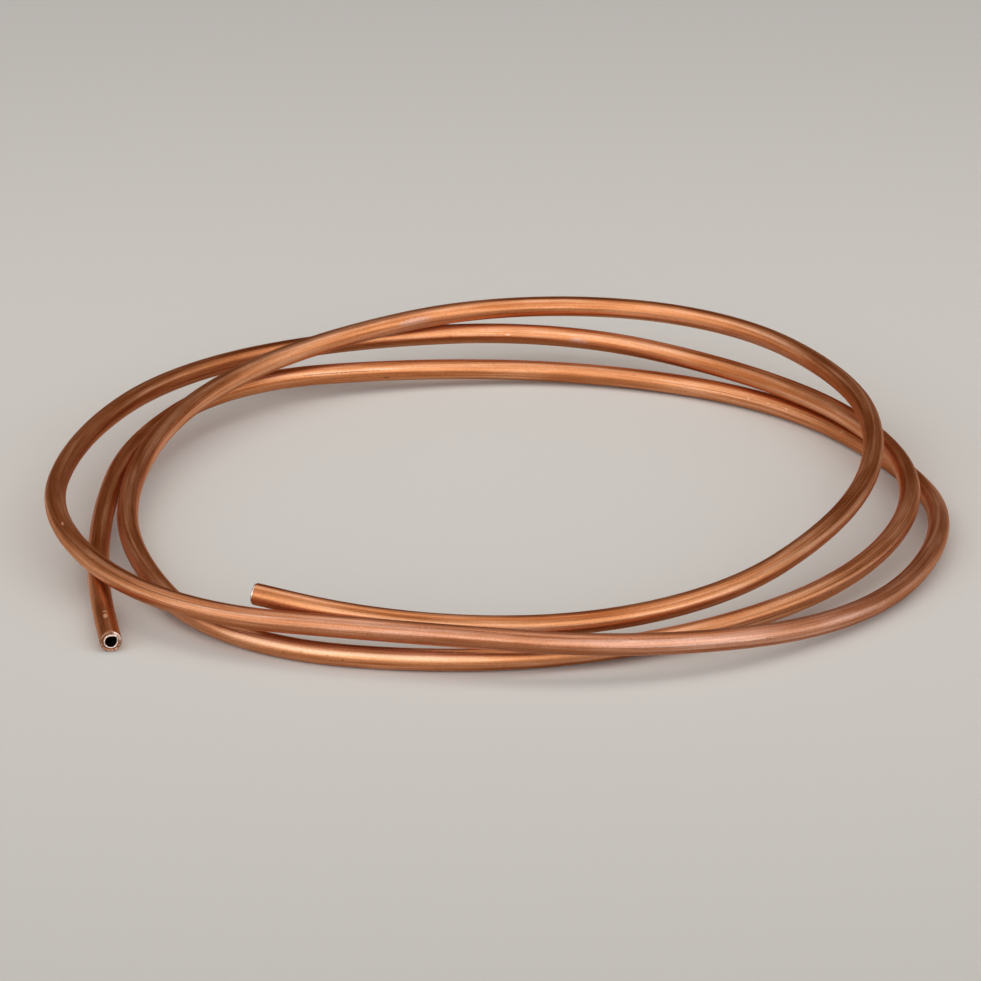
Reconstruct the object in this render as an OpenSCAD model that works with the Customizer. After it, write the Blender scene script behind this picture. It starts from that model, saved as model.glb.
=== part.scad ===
// A loose coil of soft copper tube, as it lies on a floor.
// It is one length of drawn tube. A wheel cutter has cut both ends square, rolled their outer
// edge in and left a burr round the mouth. The tube goes round almost three times and crosses
// over itself, so each turn rests on the turns below it.
// The coil lies flat in X and Y, with +Z up. The origin is on the floor, under the middle of
// the box around the coil. All lengths are in millimetres.

/* [Tube] */
// Outside diameter of the tube
tube_od = 8; // [4:0.5:12]
// Thickness of the tube's wall
wall = 1; // [0.5:0.1:1.5]
// Straight length at the cut end that lies on the floor
floor_end = 22; // [8:1:40]
// Straight length at the cut end that lies on top of the coil
top_end = 14; // [8:1:24]
// Length at each cut end over which the cutter rolled the edge in
rolled_edge = 0.8; // [0.3:0.1:1.5]
// How far the outer edge is rolled in at the cut, as a share of the wall
edge_share = 0.45; // [0.1:0.05:0.7]
// Mouth that the burr leaves at the cut, as a share of the bore
mouth_share = 0.72; // [0.5:0.01:0.95]

/* [Coil] */
// Mean diameter of the loops, taken at the middle of the tube
loop_d = 316; // [240:2:420]
// Turns between the two straight ends
turns = 2.94; // [2.92:0.01:2.96]
// Bearing of the floor end from the middle of the coil, in degrees
start_angle = -138.5; // [-180:0.5:180]

/* [Lie of the first turn] */
// Swing out from the mean loop at twelve places round the turn, in tube diameters
swing_1 = [3.95, -0.8, -1.65, -1.25, -1.85, -1.45, -0.8, -0.25, 1.35, 2.45, 2.5, 1.35]; // -3 to 4
// Height of the middle of the tube at the same places, in tube diameters
lift_1 = [0.6, 1.05, 1.4, 1.4, 0.95, 0.6, 0.55, 0.55, 0.85, 0.7, 1.5, 1.85]; // 0.5 to 4

/* [Lie of the second turn] */
// Swing out from the mean loop at twelve places round the turn, in tube diameters
swing_2 = [2.45, 1.75, 0.45, 0.3, 0.25, 0.45, -0.6, -0.75, -0.3, -0.1, 0.15, 1.05]; // -3 to 4
// Height of the middle of the tube at the same places, in tube diameters
lift_2 = [1.75, 2, 2.2, 2.25, 2.05, 1.85, 1.65, 1.6, 1.5, 1.05, 0.7, 0.55]; // 0.5 to 4

/* [Lie of the third turn] */
// Swing out from the mean loop at thirteen places round the turn, in tube diameters
swing_3 = [1.45, -1.05, -2.55, -2.5, -1.4, 0.85, 1.3, -0.3, -2.05, -2.45, -1.65, -0.5, 0.8]; // -3 to 4
// Height of the middle of the tube at the same places, in tube diameters
lift_3 = [0.55, 0.95, 1.55, 2.25, 2.8, 3.15, 3.25, 2.9, 2.6, 2.2, 1.55, 1.55, 2.35]; // 0.5 to 4

/* [Hidden] */

swing = concat(swing_1, swing_2, swing_3);
lift = concat(lift_1, lift_2, lift_3);
last = len(swing) - 1;
step = turns * 360 / last;
// Bends stop this far short of each joint, and a short ring closes the joint
joint_gap = 0.05;
ring_length = 0.5;
ring_lip = 0.01;

function unit(v) = v / norm(v);

// The places that the middle of the tube goes through, and its heading at each one
function place(i) =
  let (bearing = start_angle - step * i, out = loop_d / 2 + swing[i] * tube_od)
  [out * cos(bearing), out * sin(bearing), lift[i] * tube_od];
places = [for (i = [0:last]) place(i)];
function near_heading(i) = unit(places[i + 1] - places[i - 1]);
function wide_heading(i) =
  unit(8 * (places[i + 1] - places[i - 1]) - (places[i + 2] - places[i - 2]));
function middle_heading(i) = i < 2 || i > last - 2 ? near_heading(i) : wide_heading(i);
function end_heading(chord, next) = 2 * (chord * next) * chord - next;
function heading(i) =
  i == 0 ? end_heading(unit(places[1] - places[0]), middle_heading(1)) :
  i == last ? end_heading(unit(places[last] - places[last - 1]), middle_heading(last - 1)) :
  middle_heading(i);
headings = [for (i = [0:last]) heading(i)];

// Two bends join each place to the next, and meet without a kink: this finds where they meet
function reach(v, ways, spread) =
  (sqrt((v * ways) * (v * ways) + spread * (v * v)) - v * ways) / spread;
function meeting(i) =
  let (
    a = headings[i],
    b = headings[i + 1],
    far = reach(places[i + 1] - places[i], a + b, 2 * (1 - a * b)),
    near_point = places[i] + far * a,
    far_point = places[i + 1] - far * b
  )
  [(near_point + far_point) / 2, unit(far_point - near_point)];
meetings = [for (i = [0:last - 1]) meeting(i)];

// Each bend is a start, the heading there, and a stop
bends = [for (i = [0:last - 1]) each [
  [places[i], headings[i], meetings[i][0]],
  [meetings[i][0], meetings[i][1], places[i + 1]]
]];
function chord(bend) = bend[2] - bend[0];
function inward(bend) = unit(chord(bend) - (chord(bend) * bend[1]) * bend[1]);
function bend_radius(bend) = (chord(bend) * chord(bend)) / (2 * (chord(bend) * inward(bend)));
function bend_angle(bend) = 2 * asin(norm(chord(bend)) / (2 * bend_radius(bend)));
function bend_centre(bend) = bend[0] + bend_radius(bend) * inward(bend);
function point_on(bend, angle) =
  bend_centre(bend) + bend_radius(bend) * (sin(angle) * bend[1] - cos(angle) * inward(bend));
function heading_on(bend, angle) = cos(angle) * bend[1] + sin(angle) * inward(bend);

// The two cut ends, and the box around the whole tube
floor_tip = places[0] - floor_end * headings[0];
top_tip = places[last] + top_end * headings[last];
slices = concat(
  [[floor_tip + rolled_edge * headings[0], headings[0]]],
  [[top_tip - rolled_edge * headings[last], headings[last]]],
  [for (bend = bends, k = [0:5])
    let (angle = bend_angle(bend) * k / 5) [point_on(bend, angle), heading_on(bend, angle)]]
);
function slice_edge(slice, axis) = tube_od / 2 * sqrt(1 - slice[1][axis] * slice[1][axis]);
low = [for (axis = [0:2]) min([for (s = slices) s[0][axis] - slice_edge(s, axis)])];
high = [for (axis = [0:2]) max([for (s = slices) s[0][axis] + slice_edge(s, axis)])];
origin = [(low[0] + high[0]) / 2, (low[1] + high[1]) / 2, low[2]];

// Puts what it holds at a point, with its own X, Y and Z along three directions
module set_at(x, y, z, point) {
  multmatrix([
    [x[0], y[0], z[0], point[0]],
    [x[1], y[1], z[1], point[1]],
    [x[2], y[2], z[2], point[2]],
    [0, 0, 0, 1]
  ])
    children();
}

// A straight round rod from a point along a heading
module rod(point, way, r, from, to) {
  side = unit(cross(way, [0.3, 0.2, 1]));
  set_at(side, cross(way, side), way, point)
    translate([0, 0, from])
      cylinder(r = r, h = to - from, $fn = 48);
}

// One bend of a round rod
module bent_rod(bend, r) {
  big = bend_radius(bend);
  trim = joint_gap / big * 180 / PI;
  set_at(-inward(bend), bend[1], cross(-inward(bend), bend[1]), bend_centre(bend))
    rotate_extrude(angle = bend_angle(bend) - 2 * trim, start = trim, $fn = 180)
      translate([big, 0])
        circle(r = r, $fn = 48);
}

// A straight end of a round rod, which narrows to the radius tip at the cut and goes on by extra
module cut_end(point, way, r, tip, length, extra) {
  side = unit(cross(way, [0.3, 0.2, 1]));
  set_at(side, cross(way, side), way, point)
    rotate_extrude($fn = 48)
      polygon(concat(
        [[0, joint_gap], [r, joint_gap], [r, length - rolled_edge], [tip, length]],
        extra > 0 ? [[tip, length + extra]] : [],
        [[0, length + extra]]
      ));
}

// The whole run as a solid rod, with its ends carried on past the cuts by extra
module run(r, tip, extra) {
  for (bend = bends) {
    bent_rod(bend, r);
    rod(bend[0], bend[1], r + ring_lip, -ring_length / 2, ring_length / 2);
  }
  rod(places[last], headings[last], r + ring_lip, -ring_length / 2, ring_length / 2);
  cut_end(places[0], -headings[0], r, tip, floor_end, extra);
  cut_end(places[last], headings[last], r, tip, top_end, extra);
}

// The tube: the run less its bore
module copper_tube() {
  color([0.72, 0.44, 0.27])
    translate(-origin)
      difference() {
        run(tube_od / 2, tube_od / 2 - edge_share * wall, 0);
        run(tube_od / 2 - wall, mouth_share * (tube_od / 2 - wall), 2);
      }
}

copper_tube();
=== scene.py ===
from math import cos, pi, radians, sin, sqrt

import bmesh
import bpy
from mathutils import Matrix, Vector


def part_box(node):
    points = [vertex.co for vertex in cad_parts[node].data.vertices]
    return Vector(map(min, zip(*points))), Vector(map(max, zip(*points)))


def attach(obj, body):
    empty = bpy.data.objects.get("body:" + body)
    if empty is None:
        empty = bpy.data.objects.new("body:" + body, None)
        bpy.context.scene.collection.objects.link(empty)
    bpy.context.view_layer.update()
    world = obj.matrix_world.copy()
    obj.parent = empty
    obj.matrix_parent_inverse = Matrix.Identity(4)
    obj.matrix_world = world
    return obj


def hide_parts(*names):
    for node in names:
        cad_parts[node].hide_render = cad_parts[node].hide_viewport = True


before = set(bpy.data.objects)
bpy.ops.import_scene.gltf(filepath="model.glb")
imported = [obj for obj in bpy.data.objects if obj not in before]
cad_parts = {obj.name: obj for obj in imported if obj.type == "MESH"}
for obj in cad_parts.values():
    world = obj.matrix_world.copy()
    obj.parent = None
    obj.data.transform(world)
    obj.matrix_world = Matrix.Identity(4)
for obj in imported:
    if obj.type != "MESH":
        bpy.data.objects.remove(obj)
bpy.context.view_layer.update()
bpy.ops.object.select_all(action="DESELECT")


# The tube is one length of soft copper, drawn through a die to 8 mm outside with a 1 mm wall.
# It was let out of a tighter roll by hand into almost three loose turns, and each turn lies across
# the ones below it.
tube_d = 0.008
wall = 0.001
loop_r = 0.158
floor_end = 0.022
top_end = 0.014
rolled_edge = 0.0008
start_angle = radians(-138.5)
step = radians(29.4)
sides = 48

# Swing out of a round loop, and height, at places along the turns. Both are in tube diameters, and
# were fitted to the outline of the real coil.
swing = [
    3.95, -0.8, -1.65, -1.25, -1.85, -1.45, -0.8, -0.25, 1.35, 2.45, 2.5, 1.35,
    2.45, 1.75, 0.45, 0.3, 0.25, 0.45, -0.6, -0.75, -0.3, -0.1, 0.15, 1.05,
    1.45, -1.05, -2.55, -2.5, -1.4, 0.85, 1.3, -0.3, -2.05, -2.45, -1.65, -0.5, 0.8,
]
lift = [
    0.6, 1.05, 1.4, 1.4, 0.95, 0.6, 0.55, 0.55, 0.85, 0.7, 1.5, 1.85,
    1.75, 2, 2.2, 2.25, 2.05, 1.85, 1.65, 1.6, 1.5, 1.05, 0.7, 0.55,
    0.55, 0.95, 1.55, 2.25, 2.8, 3.15, 3.25, 2.9, 2.6, 2.2, 1.55, 1.55, 2.35,
]

places = []
for i, (out, up) in enumerate(zip(swing, lift)):
    bearing = start_angle - step * i
    r = loop_r + out * tube_d
    places.append(Vector((r * cos(bearing), r * sin(bearing), up * tube_d)))
last = len(places) - 1

headings = [Vector()] * (last + 1)
for i in range(1, last):
    way = places[i + 1] - places[i - 1]
    if 1 < i < last - 1:
        way = 8 * way - (places[i + 2] - places[i - 2])
    headings[i] = way.normalized()
for i, beside in ((0, 1), (last, last - 1)):
    chord = (places[i] - places[beside]).normalized()
    headings[i] = 2 * chord.dot(headings[beside]) * chord - headings[beside]

# Between two places the tube takes two even bends, which meet without a kink.
route = []
for i in range(last):
    a, b = headings[i], headings[i + 1]
    chord = places[i + 1] - places[i]
    ahead = chord.dot(a + b)
    spread = 2 * (1 - a.dot(b))
    reach = (sqrt(ahead * ahead + spread * chord.dot(chord)) - ahead) / spread
    near, far = places[i] + reach * a, places[i + 1] - reach * b
    route += [(places[i], a), ((near + far) / 2, (far - near).normalized())]
route.append((places[last], headings[last]))


def draw_skin(name, radius, short, rings):
    """A round skin along the whole route, which stops short of both cuts."""
    knots = [(places[0] - (floor_end - short) * headings[0], headings[0])] + route
    knots.append((places[last] + (top_end - short) * headings[last], headings[last]))
    bpy.ops.curve.primitive_bezier_curve_add(location=(0, 0, 0))
    curve = bpy.context.object
    curve.name = name
    end_handle = 0.001
    line = curve.data.splines[0].bezier_points
    line.add(len(knots) - len(line))
    for knot, (point, way) in zip(line, knots):
        knot.handle_left_type = "FREE"
        knot.handle_right_type = "FREE"
        knot.co = point
        knot.handle_left = point - end_handle * way
        knot.handle_right = point + end_handle * way
    for k in range(len(knots) - 1):
        (p, p_way), (q, q_way) = knots[k], knots[k + 1]
        chord = q - p
        handle = 2 * chord.length / (3 * (1 + chord.normalized().dot(p_way)))
        line[k].handle_right = p + handle * p_way
        line[k + 1].handle_left = q - handle * q_way
    curve.data.twist_mode = "Z_UP"
    curve.data.bevel_depth = radius
    curve.data.bevel_resolution = sides // 2 - 2
    curve.data.resolution_u = rings
    bpy.ops.object.convert(target="MESH")
    return bpy.context.object


tube = draw_skin("soft_copper_tube", tube_d / 2, rolled_edge, 14)
skin_rings = len(tube.data.vertices) // sides

# Every point of the skin also knows where it would be if the tube were pulled straight.
laid_out = tube.data.attributes.new("laid_out", "FLOAT_VECTOR", "POINT")
along = [0.0]
middles = []
for n in range(skin_rings):
    ring = [tube.data.vertices[n * sides + k].co for k in range(sides)]
    middles.append(sum(ring, Vector()) / sides)
    if n > 0:
        along.append(along[-1] + (middles[n] - middles[n - 1]).length)
    for k in range(sides):
        turn = 2 * pi * k / sides
        at = (along[n], tube_d / 2 * cos(turn), tube_d / 2 * sin(turn))
        laid_out.data[n * sides + k].vector = at

# The coil stands where the solid does, with the middle of its box over the origin.
low = Vector([min(v.co[i] for v in tube.data.vertices) for i in range(3)])
high = Vector([max(v.co[i] for v in tube.data.vertices) for i in range(3)])
solid_low, solid_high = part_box("copper_tube")
shift = (solid_low + solid_high - low - high) / 2
shift.z = solid_low.z - low.z

further_in = 0.0002
bore = draw_skin("bore", tube_d / 2 - wall, rolled_edge + further_in, 6)
bore_rings = len(bore.data.vertices) // sides
bpy.ops.object.mode_set(mode="EDIT")
bpy.ops.mesh.select_all(action="SELECT")
bpy.ops.mesh.flip_normals()
bpy.ops.object.mode_set(mode="OBJECT")
tube.select_set(True)
bpy.context.view_layer.objects.active = tube
bpy.ops.object.join()
bpy.ops.transform.translate(value=shift)
bpy.ops.object.transform_apply(location=True, rotation=False, scale=False)

# A wheel cutter rolled the outer edge of each end in and pushed a bright burr into the mouth.
# Each line is a step of the edge: how far past the cut, its radius, how ragged and how bright it is,
# and whether it has the finish of the skin, the cut or the bore.
skin_slot, cut_slot, bore_slot = 0, 1, 2
floor_edge = [
    (-0.00045, 0.00394, 0.00002, 0.0, skin_slot),
    (-0.00020, 0.00383, 0.00005, 0.05, cut_slot),
    (-0.00002, 0.00367, 0.00007, 0.15, cut_slot),
    (-0.00003, 0.00348, 0.00008, 0.05, cut_slot),
    (-0.00024, 0.00316, 0.00008, 0.0, cut_slot),
    (-0.00030, 0.00282, 0.00006, 0.0, cut_slot),
    (-0.00010, 0.00256, 0.00005, 0.2, cut_slot),
    (0.00008, 0.00244, 0.00004, 1.0, cut_slot),
    (0.00012, 0.00228, 0.00003, 1.0, cut_slot),
    (0.00002, 0.00212, 0.00003, 0.9, cut_slot),
    (-0.00018, 0.00209, 0.00003, 0.2, bore_slot),
    (-0.00045, 0.00236, 0.00003, 0.0, bore_slot),
]
top_edge = [
    (-0.00072, 0.00400, 0.00001, 0.0, skin_slot),
    (-0.00066, 0.00393, 0.00002, 0.0, cut_slot),
    (-0.00058, 0.00393, 0.00002, 0.9, cut_slot),
    (-0.00025, 0.00384, 0.00002, 1.0, cut_slot),
    (-0.00003, 0.00368, 0.00003, 1.0, cut_slot),
    (0.00000, 0.00335, 0.00004, 0.9, cut_slot),
    (-0.00006, 0.00290, 0.00004, 0.5, cut_slot),
    (0.00003, 0.00258, 0.00004, 1.0, cut_slot),
    (0.00003, 0.00236, 0.00004, 1.0, cut_slot),
    (-0.00012, 0.00218, 0.00003, 0.4, bore_slot),
    (-0.00042, 0.00240, 0.00003, 0.0, bore_slot),
]
tube.data.attributes.new("bright", "FLOAT", "POINT")
mouth_reach = 0.0036
rim_reach = 0.0046


def burr_share(radius):
    """How much of the burr's pull a step of this radius takes: none at the edge, all at the mouth."""
    pull_from, pull_whole = 0.0036, 0.0024
    return min(1.0, max(0.0, (pull_from - radius) / (pull_from - pull_whole)))


def work_end(tip, way, edge_steps, pull, painted_highlight, seed):
    """Works the rim at one cut into its rolled edge and burr, and joins it to the bore.

    Towards the upper right the burr is pulled out to a point, and a painted highlight lightens the face
    there."""
    # Where the face turns towards this direction, up and to the right, it takes a painted highlight and
    # the burr is pulled out furthest.
    corner = Vector((0.75, 0, 0.66))
    sharpness = 10
    highlight_spread = 2.5
    bpy.ops.object.mode_set(mode="EDIT")
    bpy.ops.mesh.select_mode(type="EDGE")
    bpy.ops.mesh.select_all(action="DESELECT")
    shell = bmesh.from_edit_mesh(tube.data)
    for edge in shell.edges:
        apart = ((edge.verts[0].co + edge.verts[1].co) / 2 - tip).length
        if edge.is_boundary and mouth_reach < apart < rim_reach:
            edge.select_set(True)
    bmesh.update_edit_mesh(tube.data)
    depth, radius = -rolled_edge, tube_d / 2
    for number, (next_depth, next_radius, ragged, shine, finish) in enumerate(edge_steps):
        move = way * (next_depth - depth)
        bpy.ops.mesh.extrude_edges_move(TRANSFORM_OT_translate={"value": move})
        size = next_radius / radius
        centre = tip + way * next_depth
        bpy.ops.transform.resize(value=(size, size, size), center_override=centre)
        drawn = pull * (burr_share(next_radius) - burr_share(radius))
        depth, radius = next_depth, next_radius
        bpy.ops.transform.vertex_random(offset=ragged, seed=seed + number)
        shell = bmesh.from_edit_mesh(tube.data)
        shines = shell.verts.layers.float["bright"]
        for point in shell.verts:
            if point.select:
                out = (point.co - centre).normalized()
                facing = max(0.0, out.dot(corner)) ** sharpness
                point[shines] = max(shine, painted_highlight * min(1.0, highlight_spread * facing))
                point.co += out * drawn * facing
                for face in point.link_faces:
                    face.material_index = finish
        bmesh.update_edit_mesh(tube.data)
    shell = bmesh.from_edit_mesh(tube.data)
    for edge in shell.edges:
        apart = ((edge.verts[0].co + edge.verts[1].co) / 2 - tip).length
        if edge.is_boundary and apart < mouth_reach:
            edge.select_set(True)
    bmesh.update_edit_mesh(tube.data)
    bpy.ops.mesh.bridge_edge_loops()
    bpy.ops.object.mode_set(mode="OBJECT")


skin_faces = (skin_rings - 1) * sides
for face in tube.data.polygons[skin_faces:]:
    face.material_index = bore_slot
floor_tip = places[0] - floor_end * headings[0] + shift
top_tip = places[last] + top_end * headings[last] + shift
work_end(floor_tip, -headings[0], floor_edge, pull=0.0006, painted_highlight=0.75, seed=10)
work_end(top_tip, headings[last], top_edge, pull=0.0, painted_highlight=0.0, seed=40)
bpy.ops.object.shade_smooth_by_angle(angle=radians(50))


def add_node(tree, kind, sockets=(), **settings):
    """One shader node with its settings, its plain values and the links into it."""
    made = tree.nodes.new(kind)
    for name, value in settings.items():
        setattr(made, name, value)
    for name, value in dict(sockets).items():
        if isinstance(value, bpy.types.NodeSocket):
            tree.links.new(value, made.inputs[name])
        else:
            made.inputs[name].default_value = value
    return made


# Drawn copper: streaks from the die run along the tube, over a fine grain, with browner and rosier
# patches where it was handled. Its patterns lie on the tube as if it were pulled straight.
copper = bpy.data.materials.new("drawn_copper")
copper.use_nodes = True
tree = copper.node_tree
skin = tree.nodes["Principled BSDF"]
skin.inputs["Metallic"].default_value = 1.0
skin.inputs["Specular Tint"].default_value = (0.9, 0.7, 0.6, 1)
straight = add_node(tree, "ShaderNodeAttribute", attribute_name="laid_out").outputs["Vector"]


# Every copper finish uses the same soft noise. On the skin its scale stretches it along the tube.
soft_noise = bpy.data.node_groups.new("soft_noise", "ShaderNodeTree")
for name in ("Where", "Scale", "Slide"):
    soft_noise.interface.new_socket(name, in_out="INPUT", socket_type="NodeSocketVector")
for name in ("Detail", "Roughness"):
    soft_noise.interface.new_socket(name, in_out="INPUT", socket_type="NodeSocketFloat")
soft_noise.interface.new_socket("Share", in_out="OUTPUT", socket_type="NodeSocketFloat")
given = add_node(soft_noise, "NodeGroupInput").outputs
placed = {"Vector": given["Where"], "Scale": given["Scale"], "Location": given["Slide"]}
spread = add_node(soft_noise, "ShaderNodeMapping", placed).outputs["Vector"]
grains = {"Vector": spread, "Scale": 1.0, "Detail": given["Detail"], "Roughness": given["Roughness"]}
cloud = add_node(soft_noise, "ShaderNodeTexNoise", grains).outputs["Fac"]
add_node(soft_noise, "NodeGroupOutput", {"Share": cloud})


def pattern(tree, where, scale, detail, rough=0.55, slide=0.0):
    """The soft noise with a scale and detail of its own, slid to a place of its own."""
    values = {"Where": where, "Scale": scale, "Slide": (slide, slide, slide)}
    values.update({"Detail": detail, "Roughness": rough})
    return add_node(tree, "ShaderNodeGroup", values, node_tree=soft_noise).outputs["Share"]


def reckon(tree, operation, a, b, c=0.0):
    """One step of arithmetic on values or links."""
    return add_node(tree, "ShaderNodeMath", {0: a, 1: b, 2: c}, operation=operation).outputs["Value"]


def between(tree, value, from_low, from_high, to_low, to_high):
    """Value brought from one range to another, and kept inside it."""
    ends = {"Value": value, "From Min": from_low, "From Max": from_high}
    ends.update({"To Min": to_low, "To Max": to_high})
    return add_node(tree, "ShaderNodeMapRange", ends).outputs["Result"]


def blend_colours(tree, share, a, b, blend="MIX"):
    """Colour a turned into colour b by a share."""
    made = add_node(tree, "ShaderNodeMix", data_type="RGBA", blend_type=blend)
    for number, value in ((0, share), (6, a), (7, b)):
        if isinstance(value, bpy.types.NodeSocket):
            tree.links.new(value, made.inputs[number])
        else:
            made.inputs[number].default_value = value
    return made.outputs[2]


streak = pattern(tree, straight, (14, 1500, 1500), 4)
band = pattern(tree, straight, (8, 430, 430), 2, slide=3.1)
mottle = pattern(tree, straight, (30, 230, 230), 4, 0.55, 7.7)
drift = pattern(tree, straight, (6, 12, 12), 2, 0.5, 1.3)
grain = pattern(tree, straight, (1500, 2400, 2400), 2, 0.6, 5.2)
line = pattern(tree, straight, (9, 2300, 2300), 1, 0.5, 9.4)

tone = reckon(tree, "MULTIPLY_ADD", streak, 0.75, reckon(tree, "MULTIPLY", band, 1.1))
tone = reckon(tree, "MULTIPLY_ADD", mottle, 0.7, tone)
tone = reckon(tree, "MULTIPLY_ADD", drift, 0.4, tone)
tone = between(tree, tone, 1.19, 1.76, 0.0, 1.0)
ramp = add_node(tree, "ShaderNodeValToRGB", {"Fac": tone})
ramp.color_ramp.elements[0].color = (0.41, 0.125, 0.038, 1)
ramp.color_ramp.elements[1].color = (0.83, 0.450, 0.265, 1)
ramp.color_ramp.elements.new(0.5).color = (0.61, 0.245, 0.102, 1)
speckle = between(tree, grain, 0.3, 0.7, 0.86, 1.14)
colour = blend_colours(tree, 1.0, ramp.outputs["Color"], speckle, "MULTIPLY")
dark_line = between(tree, line, 0.64, 0.74, 0.0, 0.6)
colour = blend_colours(tree, dark_line, colour, (0.22, 0.07, 0.027, 1))

# One stretch in front, from 0.66 to 1 m along, is rosier than the rest.
run = add_node(tree, "ShaderNodeSeparateXYZ", {"Vector": straight}).outputs["X"]
rosy_middle = 0.83
off_middle = reckon(tree, "ABSOLUTE", reckon(tree, "SUBTRACT", run, rosy_middle), 0.0)
rosy = between(tree, off_middle, 0.09, 0.22, 0.8, 0.0)
colour = blend_colours(tree, rosy, colour, (0.80, 0.82, 1.04, 1), "MULTIPLY")

# Marks: metres along from the floor end, degrees round, and half their length and width in mm.
# The pale marks are partly real scuff marks and partly painted glints, as at the floor end.
scuffs_and_glints = [
    (0.0138, 75, 2.2, 0.9), (0.0175, 75, 0.6, 0.9), (1.42, 160, 1.2, 0.4), (1.925, 50, 0.35, 0.35),
    (0.94, 20, 0.3, 0.3), (0.735, 15, 0.4, 0.4), (0.845, 30, 4.0, 0.3), (0.8, 0, 7.0, 0.35),
    (1.095, 60, 1.6, 0.5), (2.19, 175, 34, 0.25), (0.485, 150, 0.6, 0.35), (0.495, 150, 0.45, 0.35),
    (0.505, 145, 0.9, 0.3), (0.54, 140, 0.45, 0.45),
]
stains = [
    (0.33, 195, 1.8, 0.55), (0.45, 130, 0.35, 0.35), (0.905, 50, 20, 0.25), (2.755, 315, 6.0, 0.3),
    (2.59, 195, 3.5, 0.35), (0.31, 150, 20, 0.25), (0.12, 100, 0.5, 0.4),
]
blooms = [(1.45, 170, 4.5, 1.4), (2.355, 160, 8.0, 1.6)]
uneven = pattern(tree, straight, (900, 1100, 1100), 2, 0.6, 2.6)


def marks_on(tree, where, marks):
    """A mask of long soft spots on the laid-out tube, with uneven edges."""
    mask = 0.0
    for metres, turn, half_length, half_width in marks:
        at = (metres, tube_d / 2 * cos(radians(turn)), tube_d / 2 * sin(radians(turn)))
        scale = (1000 / half_length, 1000 / half_width, 1000 / half_width)
        back = [-a * b for a, b in zip(at, scale)]
        local = add_node(tree, "ShaderNodeMapping", {"Vector": where, "Location": back, "Scale": scale})
        far = add_node(tree, "ShaderNodeVectorMath", {0: local.outputs["Vector"]}, operation="LENGTH")
        far = reckon(tree, "MULTIPLY_ADD", uneven, 1.6, far.outputs["Value"])
        mask = reckon(tree, "MAXIMUM", mask, between(tree, far, 1.4, 1.9, 1.0, 0.0))
    return mask


fleck = pattern(tree, straight, (800, 1000, 1000), 1, 0.5, 4.4)
pit = pattern(tree, straight, (600, 900, 900), 1, 0.5, 6.8)
flecks = between(tree, fleck, 0.79, 0.84, 0.0, 0.6)
pits = between(tree, pit, 0.74, 0.79, 0.0, 0.8)
haze = between(tree, grain, 0.4, 0.62, 0.15, 0.65)
scuff_and_glint_mask = reckon(tree, "MAXIMUM", marks_on(tree, straight, scuffs_and_glints), flecks)
stained = reckon(tree, "MAXIMUM", marks_on(tree, straight, stains), pits)
bloomed = reckon(tree, "MULTIPLY", marks_on(tree, straight, blooms), haze)
colour = blend_colours(tree, bloomed, colour, (0.52, 0.36, 0.31, 1))
colour = blend_colours(tree, reckon(tree, "MULTIPLY", stained, 0.7), colour, (0.17, 0.06, 0.03, 1))
# Pale flecks and scuff marks lighten the colour, and some of those marks are painted glints.
colour = blend_colours(tree, reckon(tree, "MULTIPLY", scuff_and_glint_mask, 0.6), colour, (0.95, 0.62, 0.43, 1))
tree.links.new(colour, skin.inputs["Base Color"])

dull = reckon(tree, "MULTIPLY_ADD", mottle, 0.5, reckon(tree, "MULTIPLY", streak, 0.5))
dull = reckon(tree, "MULTIPLY_ADD", rosy, 0.15, dull)
dull = between(tree, dull, 0.3, 0.8, 0.31, 0.54)
tree.links.new(reckon(tree, "MULTIPLY_ADD", scuff_and_glint_mask, 0.2, dull), skin.inputs["Roughness"])

relief = reckon(tree, "MULTIPLY_ADD", band, 1.0, reckon(tree, "MULTIPLY", streak, 0.45))
relief = reckon(tree, "MULTIPLY_ADD", grain, 0.12, relief)
bump = add_node(tree, "ShaderNodeBump", {"Height": relief, "Strength": 0.6, "Distance": 0.00006})
tree.links.new(bump.outputs["Normal"], skin.inputs["Normal"])

# Cut copper: mottled where the wheel tore it, and bright bare metal on the edge and the burr.
cut = bpy.data.materials.new("cut_copper")
cut.use_nodes = True
tree = cut.node_tree
cut_skin = tree.nodes["Principled BSDF"]
cut_skin.inputs["Metallic"].default_value = 1.0
spot = add_node(tree, "ShaderNodeTexCoord").outputs["Object"]
score = pattern(tree, spot, (1400, 1400, 1400), 3, 0.65)
# The bright value marks freshly cut metal on the edge and the burr, plus a painted highlight on the
# upper right of the floor end's face.
bare_and_highlit = add_node(tree, "ShaderNodeAttribute", attribute_name="bright").outputs["Fac"]
torn = add_node(tree, "ShaderNodeValToRGB", {"Fac": between(tree, score, 0.35, 0.75, 0.0, 1.0)})
torn.color_ramp.elements[0].color = (0.14, 0.050, 0.022, 1)
torn.color_ramp.elements[1].color = (0.86, 0.55, 0.40, 1)
torn.color_ramp.elements.new(0.62).color = (0.36, 0.150, 0.070, 1)
smeared = between(tree, score, 0.3, 0.6, 0.0, 1.0)
fresh = blend_colours(tree, smeared, (0.80, 0.52, 0.40, 1), (1.0, 0.86, 0.78, 1))
colour = blend_colours(tree, bare_and_highlit, torn.outputs["Color"], fresh)
tree.links.new(colour, cut_skin.inputs["Base Color"])
tree.links.new(between(tree, bare_and_highlit, 0.0, 1.0, 0.46, 0.25), cut_skin.inputs["Roughness"])
bump = add_node(tree, "ShaderNodeBump", {"Height": score, "Strength": 0.8, "Distance": 0.00012})
tree.links.new(bump.outputs["Normal"], cut_skin.inputs["Normal"])

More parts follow.
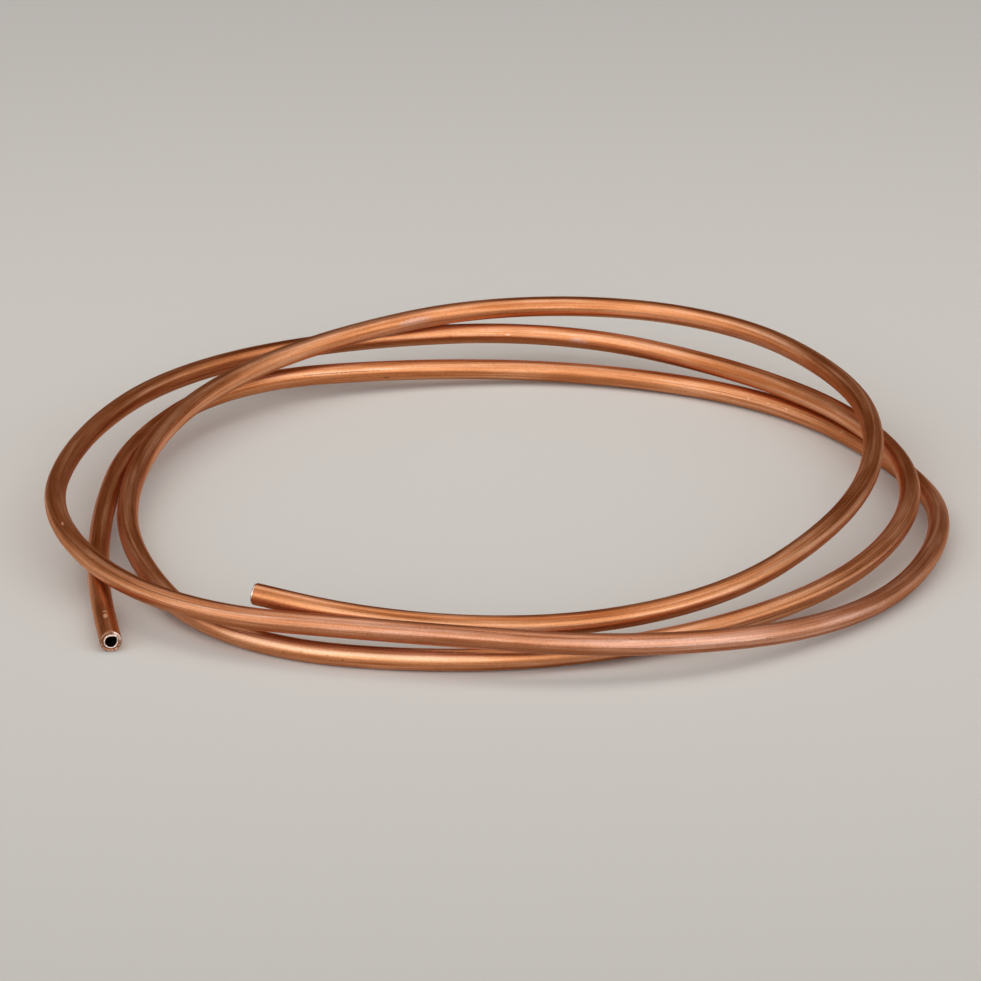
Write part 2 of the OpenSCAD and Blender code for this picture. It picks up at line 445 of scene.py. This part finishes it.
# The bore keeps a dull brown skin from the drawing oil.
inside = bpy.data.materials.new("bore_copper")
inside.use_nodes = True
tree = inside.node_tree
wall_skin = tree.nodes["Principled BSDF"]
wall_skin.inputs["Metallic"].default_value = 1.0
spot = add_node(tree, "ShaderNodeTexCoord").outputs["Object"]
stain = pattern(tree, spot, (500, 500, 500), 4, 0.6)
colour = blend_colours(tree, stain, (0.14, 0.048, 0.020, 1), (0.28, 0.105, 0.045, 1))
tree.links.new(colour, wall_skin.inputs["Base Color"])
tree.links.new(between(tree, stain, 0.3, 0.7, 0.45, 0.65), wall_skin.inputs["Roughness"])

for finish in (copper, cut, inside):
    tube.data.materials.append(finish)

# A flat layout for its colours: the skin in ten rows, the bore in five narrower ones, and a disc for
# each end. On a disc the rolled edge spreads outwards, and what is inside the mouth goes inwards.
chart = tube.data.uv_layers.new(name="OFBake")
rows, bore_rows, bore_row, sheet = 10, 5, 0.45, 13.3
row_end, row_side = 0.01, 0.03
floor_disc, top_disc, disc_width, disc_row = 0.06, 0.18, 0.09, 12.75
disc_size = 0.012
end_reach = 0.01
edge_from = 0.0035
mouth_from, mouth_radius = -0.000375, 0.0019
skin_points = skin_rings * sides
bore_points = skin_points + bore_rings * sides
for face in tube.data.polygons:
    first, final = min(face.vertices), max(face.vertices)
    if final < skin_points:
        start, rings, count, base, high = 0, skin_rings, rows, 0.0, 1.0
    elif first >= skin_points and final < bore_points:
        start, rings, count, base, high = skin_points, bore_rings, bore_rows, rows, bore_row
    else:
        start = None
    for corner in face.loop_indices:
        point = tube.data.loops[corner].vertex_index
        if start is None:
            near_floor = (face.center - floor_tip).length < end_reach
            tip, way = (floor_tip, -headings[0]) if near_floor else (top_tip, headings[last])
            side = way.cross(Vector((0, 0, 1))).normalized()
            off = tube.data.vertices[point].co - tip
            past = off.dot(way)
            out = off - past * way
            reach = out.length
            if out.length > edge_from:
                reach -= past
            elif past < mouth_from:
                reach = mouth_radius + past
            out = out.normalized() * reach / disc_size
            u = (floor_disc if near_floor else top_disc) + disc_width * out.dot(side)
            v = disc_row + out.dot(side.cross(way))
        else:
            per_row = -(-(rings - 1) // count)
            row = (first - start) // sides // per_row
            ring, k = divmod(point - start, sides)
            if k == 0 and any((p - start) % sides == sides - 1 for p in face.vertices):
                k = sides
            u = row_end + (1 - 2 * row_end) * (ring - row * per_row) / per_row
            v = base + high * (row + row_side + (1 - 2 * row_side) * k / sides)
        chart.data[corner].uv = (u, v / sheet)

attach(tube, "root")
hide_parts("copper_tube")


# The floor is a plain sheet painted a pale warm grey, which the coil lies on. It is far wider than
# the view, so its edges don't show from above.
bpy.ops.mesh.primitive_plane_add(size=60, location=(0, 0, 0))
floor = bpy.context.object
floor.name = "floor"
paint = bpy.data.materials.new("floor_paint")
paint.use_nodes = True
flat = paint.node_tree.nodes["Principled BSDF"]
flat.inputs["Base Color"].default_value = (0.62, 0.59, 0.54, 1)
flat.inputs["Roughness"].default_value = 0.8
flat.inputs["Specular IOR Level"].default_value = 0.2
floor.data.materials.append(paint)


# Soft studio light: a wide panel hangs level overhead, in a room that is bright in front, less so at
# the sides, and dim above and behind.
bpy.ops.object.light_add(type="AREA", location=(0, 0.05, 0.8))
panel = bpy.context.object
panel.name = "overhead_panel"
panel.data.shape = "RECTANGLE"
panel.data.size = 1.8
panel.data.size_y = 0.7
panel.data.energy = 4.4

room = bpy.data.worlds.new("room")
bpy.context.scene.world = room
room.use_nodes = True
tree = room.node_tree
toward = add_node(tree, "ShaderNodeTexCoord").outputs["Generated"]
aim = add_node(tree, "ShaderNodeSeparateXYZ", {"Vector": toward}).outputs
dim = reckon(tree, "MULTIPLY_ADD", reckon(tree, "ABSOLUTE", aim["X"], 0.0), -0.4, aim["Y"])
dim = reckon(tree, "MULTIPLY_ADD", aim["Z"], 0.6, dim)
behind = between(tree, dim, -0.8, 0.3, 0.0, 1.0)
glow = blend_colours(tree, behind, (2.15, 2.36, 2.56, 1), (0.13, 0.06, 0.02, 1))
tree.links.new(glow, tree.nodes["Background"].inputs["Color"])


# The camera looks down at the coil from 20.2 degrees above the floor, 2.32 m from its middle.
rise = radians(20.2)
away = 2.32
looks_at = Vector((-0.0032, 0.01968, 0)) + shift
bpy.ops.object.camera_add(location=looks_at + away * Vector((0, -cos(rise), sin(rise))))
camera = bpy.context.object
camera.rotation_euler = (pi / 2 - rise, 0, 0)
camera.data.sensor_fit = "HORIZONTAL"
camera.data.sensor_width = 36
camera.data.lens = 222.4
camera.data.clip_start = 0.05
bpy.context.scene.camera = camera
bpy.context.scene.view_settings.view_transform = "Standard"
